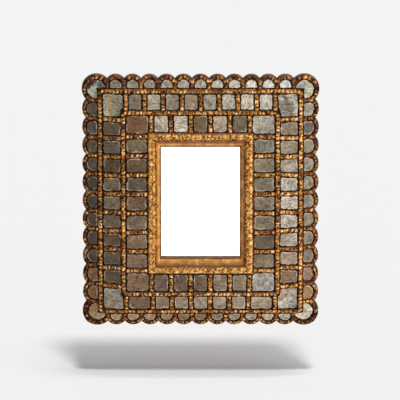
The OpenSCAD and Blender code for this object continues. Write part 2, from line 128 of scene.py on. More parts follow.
def dress(names, material):
    """Gives CAD nodes a material."""
    for name in names:
        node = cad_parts[name]
        node.data.materials.clear()
        node.data.materials.append(material)


def wood(name, axis, pale, mid, dark, roughness=0.72):
    """Sawn softwood: grain lines 1 to 3 mm wide along one axis, broad flecks, and a dull, fuzzy surface."""
    material, shader, add = new_material(name, {"Roughness": roughness})
    turned = along_grain(add, add("TexCoord").outputs["Object"], axis)
    grain = add("TexNoise", {"Vector": turned, "Scale": 380.0, "Detail": 5.0, "Distortion": 0.4})
    figure = add("TexNoise", {"Vector": turned, "Scale": 46.0, "Detail": 3.0, "Distortion": 1.2})
    half = add("Math MULTIPLY", add("Math ADD", grain, figure), 0.5)
    colour = add("ValToRGB", half, stops=[(0.36, dark), (0.5, mid), (0.62, pale)])
    relief = add("Bump", {"Height": half, "Strength": 0.5, "Distance": 0.0006})
    join(shader, {"Base Color": colour, "Normal": relief})
    return material


cedar_upright = wood("sawn_cedar_upright", "z", *CEDAR)
dress(["back_board_top", "back_board_bottom"], wood("sawn_cedar_level", "x", *CEDAR))
dress(["back_board_left", "back_board_right"], cedar_upright)
dress(["lap_pegs"], wood("peg_end_grain", "y", "#8f6d50", "#6f4f36", "#4a301d"))


# Flat and bevelled boards: cedar again. They carry the tiles, and show only as dark lines in the open joints.
# Their fronts are stained dark and painted near black, as painted shadow in the open joints, their scalloped
# edges red clay with rubbed gilding, their backs bare.
def cell_board(name, axis):
    """Stained front, darkened further as painted shadow in the joints, gilded edge and bare back, told apart
    by the way that a face looks.
    """
    material, shader, add = new_material(name, {"Roughness": 0.62, "Specular IOR Level": 0.1})
    place = add("TexCoord").outputs["Object"]
    mottle = add("TexNoise", place, 140.0, 6.0)
    patches = add("TexNoise", place, 38.0, 4.0)
    grain = add("TexNoise", along_grain(add, place, axis), 300.0, 5.0)
    # The front's near-black colours are partly stain and partly painted shadow in the joints between tiles
    # and strips
    front = add("ValToRGB", mottle, stops=[(0.35, "#190e08"), (0.62, "#342013"), (0.8, "#664832")])
    edge = add("ValToRGB", patches,
               stops=[(0.36, "#2a120a"), (0.48, "#6a3018"), (0.56, "#8a5524"), (0.66, "#b07c34")])
    bare = add("ValToRGB", grain, stops=list(zip((0.35, 0.52, 0.68), reversed(CEDAR))))
    looks = add("SeparateXYZ", add("NewGeometry").outputs["Normal"]).outputs["Y"]
    to_room = add("MapRange", looks, -0.35, -0.65)
    to_wall = add("MapRange", looks, 0.4, 0.7)
    whole = add("Mix RGBA", to_wall, add("Mix RGBA", to_room, edge, front), bare)
    relief = add("Bump", {"Height": mottle, "Strength": 0.6, "Distance": 0.001})
    join(shader, {"Base Color": whole, "Normal": relief})
    return material


for axis, way, ends in (("x", "level", ("top", "bottom")), ("z", "upright", ("left", "right"))):
    dress([f"{part}_{end}" for part in ("flat_board", "bevel_board") for end in ends],
          cell_board("stained_board_" + way, axis))

# Mirror plate: 4 mm float glass, silvered and clean.
# It lies in the sight frame's rebate and gives back the room as a bright, even white.
glass, shader, add = new_material(
    "silvered_plate", {"Base Color": "#ffffff", "Metallic": 1.0, "Roughness": 0.015})
ripple = add("TexNoise", add("TexCoord").outputs["Object"], 7.0)
join(shader, {"Normal": add("Bump", {"Height": ripple, "Strength": 0.05, "Distance": 0.002})})
dress(["mirror_plate"], glass)

# Packing strips and back panel: a thin ply panel screwed into the rear rebate over strips of cedar.
# The panel is newer and paler than the cedar.
dress(["packing_strips"], cedar_upright)
dress(["back_panel"], wood("thin_ply", "z", "#c8a679", "#b08c60", "#8e6a43", roughness=0.6))


# Sight frame: a mitred softwood moulding round the plate, with a hollow slope, a fillet and a half-round.
# The carver cut bosses, leaves and buds in the gesso on it, about 21 mm apart, and the gilder covered it all.
# It and all that follows is shaped in plan, X to the right, Y up and Z out from the wall, and then stood up.
def edge_of(part, end):
    """Half width and half height of a part with four sides, at its inner edge (0) or its outer edge (1)."""
    return Vector((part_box(f"{part}_right")[end].x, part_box(f"{part}_top")[end].z))


SIGHT, SIGHT_OUT = edge_of("sight_frame", 0), edge_of("sight_frame", 1)
# Levels of the boards' front and back, of the lip's edge and of the plate's front
FLOOR, BOARD = (-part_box("flat_board_top")[end].y for end in (0, 1))
LIP, GLASS = FLOOR - 0.010, FLOOR - 0.018
REBATE, LIP_W, CREST_W, FILLET_W, HOLLOW = 0.008, 0.004, 0.022, 0.0025, 0.0012
# The half-round's height, that of the leaves on it, their pitch, and the length of a step along it
ROUND, CARVED, LEAF_PITCH, LEAF_STEP = 0.0072, 0.0047, 0.021, 0.0011
# Lumps of one repeat: place along and across, half length and half width in mm, turn in degrees, and height
LEAFWORK = (
    (0.0, 4.4, 6.4, 4.9, 0, 1.0), (0.0, -3.8, 5.2, 3.9, 0, 0.9), (10.5, 4.4, 4.6, 3.8, 0, 0.9),
    (10.5, -4.4, 4.6, 3.6, 0, 0.85), (5.4, 7.2, 4.8, 2.2, 40, 0.8), (-5.4, 7.2, 4.8, 2.2, -40, 0.8),
    (5.6, 0.2, 4.4, 2.2, -50, 0.8), (-5.6, 0.2, 4.4, 2.2, 50, 0.8), (5.4, -7.2, 4.4, 2.3, 20, 0.75),
    (-5.4, -7.4, 4.4, 2.3, -25, 0.75))
QUARTER = pi / 2


def gilding(name, wear, clay, grain=0.7):
    """Water gilding on carved wood: leaf over red clay over gesso. It is bright and orange on the crests,
    rubbed to the clay on the flanks and undersides, which are also darkened as painted shade, near black with
    old dirt in the cuts, and dusted pinkish where it faces up. It is painted a little darker toward the
    mirror's left and lighter toward its right, as painted shade and light from the right."""
    material, shader, add = new_material(name, {"Specular IOR Level": 0.12})
    place = add("TexCoord").outputs["Object"]
    crest = add("Attribute", attribute_name="crest").outputs["Fac"]
    up = add("SeparateXYZ", add("NewGeometry").outputs["Normal"]).outputs["Z"]
    grit = add("TexNoise", place, 330.0, 6.0, 0.62)
    rubbed = add("TexNoise", place, 62.0, 5.0, 0.6)
    chips = add("TexNoise", place, 115.0, 3.0)
    # Height of the carving, shifted by grit and by rubbed patches
    mottled = add("Math MULTIPLY_ADD", grit, grain, crest)
    patched = add("Math MULTIPLY_ADD", rubbed, -wear, mottled)
    # The leaf is painted a little darker toward the mirror's left and lighter toward its right: painted shade
    # and light, as from a lamp on the right
    kept, drift = (wear - grain) / 2, 0.03
    across = add("MapRange", add("SeparateXYZ", place), -0.3, 0.3, kept - drift, kept + drift)
    level = add("Math ADD", patched, across)
    leaf = add("ValToRGB", level, stops=[
        (0.06, "#0e0603"), (0.2, clay), (0.34, "#74421c"), (0.5, "#a26a2b"), (0.66, "#c68c43"),
        (0.82, "#e3ac64"), (1.0, "#f3cf9c")])
    # Surfaces that face down are mixed toward dark red-brown: bare clay, and painted shade under the carving
    shaded = add("Mix RGBA", add("MapRange", up, -0.42, -0.8, 0.0, 0.85), leaf, "#43180a")
    dust_share = add("MapRange", up, 0.35, 0.95, 0.0, 0.6)
    dust = add("Math MULTIPLY", dust_share, add("MapRange", rubbed, 0.42, 0.56))
    dusted = add("Mix RGBA", dust, shaded, "#b58a72")
    colour = add("Mix RGBA", add("MapRange", chips, 0.7, 0.73), dusted, "#d8cabd")
    metal = add("MapRange", level, 0.4, 0.8, 0.0, 0.5)
    rough = add("MapRange", level, 0.2, 0.9, 0.65, 0.38)
    relief = add("Bump", {"Height": grit, "Strength": 0.8, "Distance": 0.0014})
    join(shader, {"Base Color": colour, "Metallic": metal, "Roughness": rough, "Normal": relief})
    return material


def worn(add, geometry, depth, across):
    """Nodes that wear the carving where the attribute carved says it is: soft lumps a few millimetres wide,
    raised or sunk, and a slight drift to the side."""
    place = add("InputPosition")
    lumps = add("TexVoronoi", {"Vector": place, "Scale": 195.0, "Smoothness": 0.4}, feature="SMOOTH_F1")
    drift = add("TexNoise", place, 90.0, 2.0).outputs["Color"]
    raised = add("Math SUBTRACT", 0.42, lumps)
    out = add("CombineXYZ", {"Z": add("Math MULTIPLY", raised, depth)})
    centred = add("VectorMath SUBTRACT", drift, (0.5, 0.5, 0.5))
    sideways = add("VectorMath MULTIPLY", centred, (across, across, 0.0))
    total = add("VectorMath ADD", sideways, out)
    kept = add("VectorMath SCALE", total, add("InputNamedAttribute", "carved"))
    return add("SetPosition", {"Geometry": geometry, "Offset": kept}), raised


def new_tree(name, sizes):
    """A Geometry Nodes tree, what adds a node to it, and its inputs. A size of None stands for an object."""
    tree = bpy.data.node_groups.new(name, "GeometryNodeTree")
    kinds = {float: "NodeSocketFloat", int: "NodeSocketInt", type(None): "NodeSocketObject"}
    for way in ("INPUT", "OUTPUT"):
        tree.interface.new_socket("Geometry", in_out=way, socket_type="NodeSocketGeometry")
    for label, value in sizes.items():
        socket = tree.interface.new_socket(label, in_out="INPUT", socket_type=kinds[type(value)])
        if value is not None:
            socket.default_value = value
    add = partial(add_node, tree)
    return tree, add, add("NodeGroupInput").outputs


def end_tree(add, geometry, material, smooth=True):
    """Stands the plan up, so that its Z points to the room, and gives it shading and material."""
    stood = add("Transform", {"Geometry": geometry, "Rotation": (QUARTER, 0, 0)})
    shaded = add("SetShadeSmooth", {"Geometry": stood, "Shade Smooth": smooth})
    add("NodeGroupOutput", add("SetMaterial", {"Geometry": shaded, "Material": material}))


def planted(add, points, shape, turn):
    """Nodes that put an object on each point of a mesh, turned in plan."""
    laid = add("InstanceOnPoints", {
        "Points": add("MeshToPoints", points), "Instance": add("ObjectInfo", shape).outputs["Geometry"],
        "Rotation": add("CombineXYZ", {"Z": turn})})
    return add("RealizeInstances", laid)


def new_object(name, data):
    """An object in the scene that shows data."""
    made = bpy.data.objects.new(name, data)
    bpy.context.scene.collection.objects.link(made)
    return made


def grown(mesh, tree, **sizes):
    """The plain mesh that a tree makes of a mesh."""
    source = new_object("source", mesh)
    modifier = source.modifiers.new("tree", "NODES")
    modifier.node_group = tree
    for item in tree.interface.items_tree:
        if item.name in sizes:
            modifier[item.identifier] = sizes[item.name]
    depsgraph = bpy.context.evaluated_depsgraph_get()
    made = bpy.data.meshes.new_from_object(source.evaluated_get(depsgraph), depsgraph=depsgraph)
    bpy.data.objects.remove(source)
    return made


def solid(name, points, faces=()):
    """A mesh of points and faces."""
    mesh = bpy.data.meshes.new(name)
    mesh.from_pydata(points, [], faces)
    return mesh


def quads(*corners):
    """Faces with four corners, each given as an array of point numbers."""
    return np.stack(corners, axis=2).reshape(-1, 4).tolist()


def mark(mesh, **numbers):
    """Keeps a number of each name for each point of a mesh."""
    for name, values in numbers.items():
        data = mesh.attributes.new(name, "FLOAT", "POINT").data
        data.foreach_set("value", np.ravel(values).astype(np.float32))


def piece(name, meshes, slot, *nodes, finish=None):
    """Joins meshes into one piece that rides on the frame and stands for CAD nodes."""
    joined = bmesh.new()
    for mesh in meshes:
        joined.from_mesh(mesh)
    for face in joined.faces:
        face.material_index = 0
    whole = meshes[0]
    finish = finish or whole.materials[-1]
    joined.to_mesh(whole)
    joined.free()
    whole.materials.clear()
    whole.materials.append(finish)
    whole.name = name
    made = new_object(name, whole)
    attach(made, "frame")
    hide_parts(*nodes)


def all_sides(part):
    return [f"{part}_{side}" for side in SIDES]


def turned(side, u, v):
    """A place on side 0, the top, turned to side 0 to 3, clockwise."""
    turn = -QUARTER * side
    return u * cos(turn) - v * sin(turn), u * sin(turn) + v * cos(turn)


def leaf_relief(along, across, seed):
    """Height share of the carved leafwork, 0 in the cuts and 1 on the bosses, for arrays in millimetres."""
    height = np.zeros_like(along)
    pitch = LEAF_PITCH * 1000
    repeat = np.round(along / pitch)
    for shift in (-1, 0, 1):
        index = repeat + shift
        for number, (u, v, long, wide, turn, top) in enumerate(LEAFWORK):
            # Each lump is moved, turned and scaled a little, always the same way for the same place
            waves = [np.sin(index * 12.9898 + number * 78.233 + seed * 37.7 + k * 4.1) for k in range(4)]
            chance = [np.abs(wave * 43758.5453) % 1 - 0.5 for wave in waves]
            du = along - index * pitch - u - 4.2 * chance[0]
            dv = across - v - 2.2 * chance[1]
            angle = np.radians(turn) + 1.9 * chance[2]
            size = 1 + 0.5 * chance[3]
            p = (du * np.cos(angle) + dv * np.sin(angle)) / (long * size)
            q = (dv * np.cos(angle) - du * np.sin(angle)) / (wide * size)
            full = top * (1 - 0.5 * np.abs(chance[0] + chance[3]))
            height = np.maximum(height, full * np.sqrt(np.clip(1 - p * p - q * q, 0, 1)))
    return height


def sight_section(slope_w):
    """Points of the section: distance from the opening, level, carved share, and leaf left on plain wood."""
    rows = [(0.0, GLASS, 0, 0.1), (0.0, LIP - 0.0006, 0, 0.3), (0.0005, LIP + 0.0004, 0, 0.45),
            (0.0014, LIP + 0.0008, 0, 0.55), (0.0023, LIP + 0.0005, 0, 0.5), (0.0029, LIP - 0.0003, 0, 0.15),
            (0.0034, LIP - 0.0003, 0, 0.2), (LIP_W, LIP + 0.0006, 0, 0.45)]
    for i in range(10):
        t = (i + 0.5) / 10
        bead = 0.00015 * exp(-(((t - 0.55) / 0.06) ** 2))
        level = LIP + 0.0006 + (FLOOR - 0.0016 - LIP) * t - HOLLOW * 4 * t * (1 - t) + bead
        rows.append((LIP_W + (slope_w - LIP_W) * t, level, 0, 0.74 - 0.24 * t**3))
    rows += [(slope_w, FLOOR - 0.001, 0, 0.5), (slope_w + FILLET_W / 2, FLOOR - 0.0008, 0, 0.56),
             (slope_w + FILLET_W, FLOOR - 0.001, 0, 0.42)]
    for i in range(25):
        a = pi * i / 24
        out = slope_w + FILLET_W + CREST_W / 2 * (1 - cos(a))
        rows.append((out, FLOOR + 0.0008 + ROUND * sin(a) ** 0.8, max(sin(a), 1e-6), 0))
    outer = slope_w + FILLET_W + CREST_W
    return rows + [(outer, FLOOR - 0.003, 0, 0.15), (outer, BOARD, 0, 0.1), (REBATE, BOARD, 0, 0.1),
                   (REBATE, GLASS, 0, 0.1)]


def sight_moulding():
    """The four mitred lengths as one closed ring."""
    rings, carved, crest = [], [], []
    for side in range(4):
        (u0, v0), (u1, v1) = ((line[side % 2], line[1 - side % 2]) for line in (SIGHT, SIGHT_OUT))
        out, level, share, leaf = np.array(sight_section(v1 - v0 - CREST_W - FILLET_W)).T[:, None]
        f = np.linspace(-1, 1, round((u0 + u1) / LEAF_STEP), endpoint=False)[:, None]
        v = v0 + out
        u = f * (u0 + (v - v0) * (u1 - u0) / (v1 - v0))
        across = (out - (v1 - v0 - CREST_W / 2)) * 1000 + 0 * f
        inside = np.abs(across) < CREST_W * 500
        relief = np.where(inside, leaf_relief(u * 1000, across, side), 0) * (share > 0)
        z = level + relief * CARVED * share**0.5 + 0 * f
        rings.append(np.stack([*turned(side, u, v), z], axis=2))
        carved.append(share + 0 * f)
        crest.append(np.where(share > 0, 0.34 + 0.62 * relief, leaf) + 0 * f)
    points = np.concatenate(rings)
    index = np.arange(points[..., 0].size).reshape(points.shape[:2])
    after, beside = np.roll(index, -1, 0), np.roll(index, -1, 1)
    faces = quads(index, beside, np.roll(beside, -1, 0), after)
    mesh = solid("sight_moulding", points.reshape(-1, 3), faces)
    mark(mesh, carved=np.concatenate(carved), crest=np.concatenate(crest))
    return mesh


worn_tree, add, given = new_tree("worn carving", {"depth": 0.001})
moved, _ = worn(add, given["Geometry"], given["depth"], 0.0008)
end_tree(add, moved, gilding("kept_water_gilding", 0.85, "#4a230e", 0.4))
carving = grown(sight_moulding(), worn_tree, depth=0.0007)
piece("carved_sight_frame", [carving], "gilt", *all_sides("sight_frame"))

# Rails and dividers: half-round strips of gilt carving, nailed over the joints between the tiles.
# Each is cut into plump, uneven beads with dark cuts between them, and lies flat on the boards or the bevel.
RIDGE, RAIL_IN = edge_of("flat_board", 1), edge_of("inner_rail", 0)
# The bevel's width at the sides and above, and its fall to the outline and to the outer rail's middle
BEVEL, DROP, RAIL_DROP = Vector((0.1005, 0.086)), 0.036, 0.0194
RAIL_LINE = RIDGE + BEVEL * (RAIL_DROP / DROP)
RAIL_W, DIVIDER_W, STEP, TOP_POINTS = 0.012, 0.0115, 0.0011, 12


def ribbon(centres, halves):
    """A strip laid flat in plan, as a closed tube of no height. Halves are its half widths, as vectors across
    it. Its points know how far along they are, the whole length, and their place round the section."""
    centres, halves = np.array(centres, float), np.array(halves, float)
    angles = np.linspace(0, pi, TOP_POINTS + 1)
    px = np.concatenate([np.cos(angles), [-1.0, -0.4, 0.4, 1.0]])
    py = np.concatenate([np.sin(angles), [-1.0] * 4])
    n, m = len(centres), len(px)
    flat = centres[:, None, :] + halves[:, None, :] * px[None, :, None]
    points = np.concatenate([flat, np.zeros((n, m, 1))], axis=2).reshape(-1, 3)
    index = np.arange(n * m).reshape(n, m)
    near, far = index[:-1], index[1:]
    faces = quads(near, far, np.roll(far, -1, 1), np.roll(near, -1, 1))
    faces += [index[0], index[-1][::-1]]
    run = np.concatenate([[0], np.cumsum(np.linalg.norm(np.diff(centres, axis=0), axis=1))])[:, None]
    ahead = np.gradient(centres, axis=0)
    ahead /= np.linalg.norm(ahead, axis=1)[:, None]
    mesh = solid("ribbon", points, faces)
    mark(mesh, run=run + (halves * ahead).sum(axis=1)[:, None] * px, whole=run[-1] + 0 * (run + px),
         px=px + 0 * run, py=py + 0 * run)
    return bpy.data.objects.new("ribbon", mesh)


def straight(start, end, width, flare=0.0):
    """A straight ribbon from start to end. Flare lengthens its outer edge on each end, as a mitre does."""
    start, end = np.array(start, float), np.array(end, float)
    length = np.linalg.norm(end - start)
    along = (end - start) / length
    across = np.array([along[1], -along[0]])
    f = np.linspace(-1, 1, max(3, round(length / STEP) + 1))[:, None]
    centres = (start + end) / 2 + f * (end - start) / 2
    return ribbon(centres, across * width / 2 + f * along * flare * width / 2)


def bow(centre, radius, middle, half_turn, width):
    """A ribbon along an arc, clockwise. Its middle and half of its turn are in degrees."""
    first, last = middle + half_turn, middle - half_turn
    count = max(3, round(abs(radians(last - first)) * radius / STEP) + 1)
    angles = np.radians(np.linspace(first, last, count))
    out = np.stack([np.cos(angles), np.sin(angles)], axis=1)
    return ribbon(np.array(centre) + radius * out, out * width / 2 * -1)


# Heights of the strip's edge, middle and beads; pitch, slant and width of the cuts between beads; leaf left
# on plain wood and added by lumps; how far the underside sinks in; and how far the painted light on the crest
# leans to one side, leaving the other flank in painted shade
SIZES = {
    "edge": 0.004, "rise": 0.006, "bead": 0.004, "pitch": 0.0102, "slant": 0.03, "cut": 0.7, "base": 0.27,
    "rough": 0.9, "skirt": 0.002, "tilt": 0.0, "seed": 1.0}
strip_tree, add, given = new_tree("carved strips", {"ribbon": None, **SIZES})
strips = planted(add, given["Geometry"], given["ribbon"], add("InputNamedAttribute", "turn"))
run, whole, px, py = (add("InputNamedAttribute", name) for name in ("run", "whole", "px", "py"))
place = add("VectorMath ADD", add("InputPosition"), add("CombineXYZ", {"Z": given["seed"]}))
# A whole number of beads fills each strip; the cuts between them lean and wander, but not at its ends
beads = add("Math MAXIMUM", add("Math ROUND", add("Math DIVIDE", whole, given["pitch"])), 1.0)
even = add("Math DIVIDE", add("Math MULTIPLY", run, beads), whole)
wander = add("Math SUBTRACT", add("TexNoise", place, 70.0, 1.0), 0.5)
astray = add("Math ADD", add("Math MULTIPLY", px, given["slant"]), add("Math MULTIPLY", wander, 2.8))
inner_share = add("Math SINE", add("Math MULTIPLY", add("Math DIVIDE", run, whole), pi))
phase = add("Math ADD", even, add("Math MULTIPLY", astray, inner_share))
wave = add("Math ABSOLUTE", add("Math SINE", add("Math MULTIPLY", phase, pi)))
lump = add("Math POWER", wave, given["cut"])
uneven = add("Math SUBTRACT", add("TexNoise", place, 75.0, 0.0), 0.5)
plump = add("Math ADD", 0.74, add("Math MULTIPLY", 1.8, uneven))
on_top = add("Math MAXIMUM", py, 0.0)
bead = add("Math MULTIPLY", add("Math MULTIPLY", add("Math POWER", on_top, 0.8), lump), plump)
round_part = add("Math MULTIPLY", add("Math SUBTRACT", given["rise"], given["edge"]), on_top)
carving = add("Math ADD", round_part, add("Math MULTIPLY", bead, given["bead"]))
height = add("Math ADD", given["edge"], carving)
# The underside goes a little way into the board
under = add("Math LESS_THAN", py, -0.5)
final = add("Math SUBTRACT", add("Math MULTIPLY", height, add("Math SUBTRACT", 1.0, under)),
            add("Math MULTIPLY", under, given["skirt"]))
raised = add("SetPosition", {"Geometry": strips, "Offset": add("CombineXYZ", {"Z": final})})
marked = add("StoreNamedAttribute", {"Geometry": raised, "Name": "carved", "Value": on_top})
moved, lumps = worn(add, marked, 0.0019, 0.0018)
# The crest is painted light and the flanks painted shade, following the section's height, over leaf rubbed
# off the flanks
lit = add("Math ADD", py, add("Math MULTIPLY", px, given["tilt"]))
crown = add("MapRange", lit, 0.15, 0.7, interpolation_type="SMOOTHSTEP")
leaf = add("Math ADD", add("Math ADD", given["base"], add("Math MULTIPLY", bead, 0.66)),
           add("Math MULTIPLY", lumps, given["rough"]))
shade = add("Math MULTIPLY", crown, leaf)
coloured = add("StoreNamedAttribute", {"Geometry": moved, "Name": "crest", "Value": shade})
# The boards' surface: level inside the ridge, and falling away to the edge outside it
plan = add("SeparateXYZ", add("InputPosition")).outputs
falls = []
for way, ridge, width in zip("XY", RIDGE, BEVEL):
    outside = add("Math SUBTRACT", add("Math ABSOLUTE", plan[way]), ridge)
    falls.append(add("Math DIVIDE", outside, width))
fall = add("Math MAXIMUM", add("Math MAXIMUM", *falls), 0.0)
surface = add("Math SUBTRACT", FLOOR, add("Math MULTIPLY", fall, DROP))
bedded = add("SetPosition", {"Geometry": coloured, "Offset": add("CombineXYZ", {"Z": surface})})
end_tree(add, bedded, gilding("worn_water_gilding", 0.5, "#38190a", 0.58))


def strips_at(strip, places, **sizes):
    """The mesh of a ribbon repeated at places, each given as x, y and turn in radians, and then carved."""
    mesh = solid("places", [(x, y, 0) for x, y, _ in places])
    mark(mesh, turn=[turn for _, _, turn in places])
    return grown(mesh, strip_tree, ribbon=strip, **SIZES | sizes)


def rail(name, line, nodes, seed):
    """Four mitred lengths. Line is the centre line's half width and half height."""
    flare = BEVEL.x / BEVEL.y if line.x > RIDGE.x else 1.0
    meshes = []
    for turn, (u, v) in enumerate((line, line.yx)):
        length = straight((-u, v), (u, v), -RAIL_W, 1 / flare if turn else flare)
        places = [(0, 0, turn * QUARTER), (0, 0, -QUARTER if turn else pi)]
        meshes.append(strips_at(length, places, seed=seed + turn, tilt=0.32))
    piece(name, meshes, "gilt", *all_sides(nodes))


HALF_RAIL = Vector((RAIL_W / 2, RAIL_W / 2))
rail("beaded_inner_rail", RIDGE - HALF_RAIL, "inner_rail", 3.0)
rail("beaded_outer_rail", RAIL_LINE, "outer_rail", 7.0)


def even_edges(half, cells):
    return [half * (2 * i / cells - 1) for i in range(cells + 1)]


# Dividers stand on the edges of the cells, the last one this far in from the ring's corner. The bottom row
# of the middle ring ends in two wide cells.
INNER_IN, MIDDLE_IN, MIDDLE_IN_UPRIGHT, WIDE_IN = 0.010, 0.012, 0.0255, 0.081
INNER_LEVEL, INNER_UPRIGHT = even_edges(SIGHT_OUT.x - INNER_IN, 5), even_edges(SIGHT_OUT.y - INNER_IN, 7)
MIDDLE_TOP, MIDDLE_UPRIGHT = even_edges(RIDGE.x - MIDDLE_IN, 8), even_edges(RIDGE.y - MIDDLE_IN_UPRIGHT, 9)
MIDDLE_BOTTOM = [MIDDLE_TOP[0], *even_edges(RIDGE.x - WIDE_IN, 5), MIDDLE_TOP[-1]]
# The upright columns of the middle ring droop toward the edge, on the right more than on the left
DROOP = {("middle_dividers", 1): -6.5, ("middle_dividers", 3): 4.5}


def around(side, u, lean=0.0, middle=0.0):
    """The place and turn of something that stands at u on a side. It may lean about a point that is middle
    away from the mirror's centre."""
    x, y = u + middle * sin(lean), middle * (1 - cos(lean))
    return *turned(side, x, y), -QUARTER * side + lean


def leans(row, most):
    """How far each divider of a row leans. The two at its ends stand square."""
    inner = [radians(most * (0.75 + 0.45 * sin(9 * i))) for i in range(1, len(row) - 1)]
    return [0.0, *inner, 0.0]


def dividers(name, nodes, rows, inside, outside, seed):
    meshes = []
    for kind, sides in enumerate(((0, 2), (1, 3))):
        v0, v1 = inside[1 - kind], outside[1 - kind]
        places = [around(side, u, lean, (v0 + v1) / 2) for side in sides
                  for u, lean in zip(rows[side], leans(rows[side], DROOP.get((nodes, side), 1.0)))]
        meshes.append(strips_at(straight((0, v0), (0, v1), DIVIDER_W), places, seed=seed + kind, edge=0.0036,
                                rise=0.0055, pitch=0.0112, slant=0.06))
    piece(name, meshes, "gilt", *all_sides(nodes))


INNER_ROWS = (INNER_LEVEL, INNER_UPRIGHT) * 2
dividers("inner_ring_dividers", "inner_dividers", INNER_ROWS, SIGHT_OUT, RAIL_IN, 11.0)
MIDDLE_ROWS = (MIDDLE_TOP, MIDDLE_UPRIGHT, [-u for u in MIDDLE_BOTTOM], MIDDLE_UPRIGHT)
dividers("middle_ring_dividers", "middle_dividers", MIDDLE_ROWS, RIDGE, RAIL_LINE - HALF_RAIL, 15.0)

# Scalloped band: eleven arches on each side between round corner lobes, a short divider under each notch.
# It is the most rubbed part of the frame, and the lobes have lost most of their leaf.
OUTLINE, NOTCH, ARCHES = RIDGE + BEVEL, 0.011, 11
LOBE_R, LOBE = 0.038, OUTLINE - Vector((0.037, 0.037))
# Widths of the carved strips, how far the short dividers run in under the arches, and half turns in degrees
ARCH_W, LOBE_RIM_W, LEG_IN, ARCH_TURN, LOBE_TURN = 0.0096, 0.012, 0.012, 72, 104
BAND = {
    "edge": 0.0036, "rise": 0.005, "bead": 0.0044, "slant": 0.0, "pitch": 0.0118, "cut": 1.3, "base": 0.14,
    "rough": 0.45}
LOBE_BAND = BAND | {"pitch": 0.0125, "bead": 0.0034, "base": 0.04, "rough": 0.36}
CORNERS = ((1, 1), (1, -1), (-1, -1), (-1, 1))


def arch_sizes(side):
    """Pitch, radius and centre line of the arches on a level or an upright side."""
    out, along, across = OUTLINE[1 - side % 2], LOBE[side % 2], LOBE[1 - side % 2]
    pitch = 2 * (along - sqrt(LOBE_R**2 - (out - NOTCH - across) ** 2)) / ARCHES
    radius = ((pitch / 2) ** 2 + NOTCH**2) / (2 * NOTCH)
    return pitch, radius, out - radius


meshes = []
for kind, sides in enumerate(((0, 2), (1, 3))):
    pitch, radius, line = arch_sizes(kind)
    arch = bow((0, line), radius - ARCH_W / 2, 90, ARCH_TURN, ARCH_W)
    leg = straight((0, RAIL_LINE[1 - kind] + RAIL_W / 2), (0, line + LEG_IN), ARCH_W)
    tops = [around(side, (i - (ARCHES - 1) / 2) * pitch) for side in sides for i in range(ARCHES)]
    feet = [around(side, (i - ARCHES / 2) * pitch) for side in sides for i in range(ARCHES + 1)]
    meshes.append(strips_at(arch, tops, seed=21.0 + kind, **BAND))
    meshes.append(strips_at(leg, feet, seed=25.0 + kind, **BAND))
for number, (sx, sy) in enumerate(CORNERS):
    outward = degrees(atan2(sy, sx))
    lobe = bow((LOBE.x * sx, LOBE.y * sy), LOBE_R - LOBE_RIM_W / 2, outward, LOBE_TURN, LOBE_RIM_W)
    meshes.append(strips_at(lobe, [(0, 0, 0)], seed=31.0 + number, **LOBE_BAND))
piece("scalloped_band", meshes, "gilt", *all_sides("scallop_rim"),
      finish=gilding("rubbed_water_gilding", 0.7, "#4a1d0e"))

# Mirror tiles: scraps of old looking-glass, nibbled to size and bedded in dark putty.
# The silver has gone grey, brown and streaky, and the nibbled rims are pale.
TILE_GAP, TILE_T, HIP_CUT = 0.0018, 0.003, 0.007
# Their edges wander, and the pliers took bites of these depths or left a burr. Each lies a little turned and
# tilted, with a thin worn slope round its face.
WANDER, BITES, MOST_TURN, MOST_TILT = 0.0003, (0, 0, -0.0003, 0.0007, 0.0017), 0.02, 0.014
SLOPE_W, EDGE_POINTS, CORNER_POINTS, ARC_POINTS, LOBE_POINTS = 0.0026, 44, 64, 15, 24


def board_level_at(x, y):
    return FLOOR - DROP * max(0.0, (abs(x) - RIDGE.x) / BEVEL.x, (abs(y) - RIDGE.y) / BEVEL.y)


def hip_level_at(x, y):
    """The flat bed that is pared into the hip at each corner."""
    share = ((abs(x) - RIDGE.x) * BEVEL.x + (abs(y) - RIDGE.y) * BEVEL.y) / BEVEL.length_squared
    return FLOOR - DROP * share - HIP_CUT / cos(atan(DROP / BEVEL.length))


def arc_of(x, y, radius, first, last, count):
    """Points along an arc, counter-clockwise."""
    turns = np.linspace(first, last, count)
    return [(x + radius * cos(t), y + radius * sin(t)) for t in turns]


def outline_of(corners, count):
    """A polygon walked in even steps, with its corners rubbed round."""
    loop = np.array(list(corners) + [corners[0]])
    steps = np.linalg.norm(np.diff(loop, axis=0), axis=1)
    walked = np.concatenate([[0], np.cumsum(steps)])
    at = np.linspace(0, walked[-1], count, endpoint=False)
    even = np.stack([np.interp(at, walked, loop[:, k]) for k in (0, 1)], axis=1)
    for _ in range(2):
        even = (np.roll(even, 1, 0) + 2 * even + np.roll(even, -1, 0)) / 4
    return even


def tone_at(side, i, last, tones, odd):
    """Linear tone of tile i on a side. Tones run along it, clockwise; odd gives single tiles another tone."""
    if (side, i) in odd:
        return linear(odd[side, i])[:3]
    row = tones[side]
    place = i / last * (len(row) - 1)
    index = min(int(place), len(row) - 2)
    return [a + (b - a) * (place - index) for a, b in zip(linear(row[index]), linear(row[index + 1]))][:3]


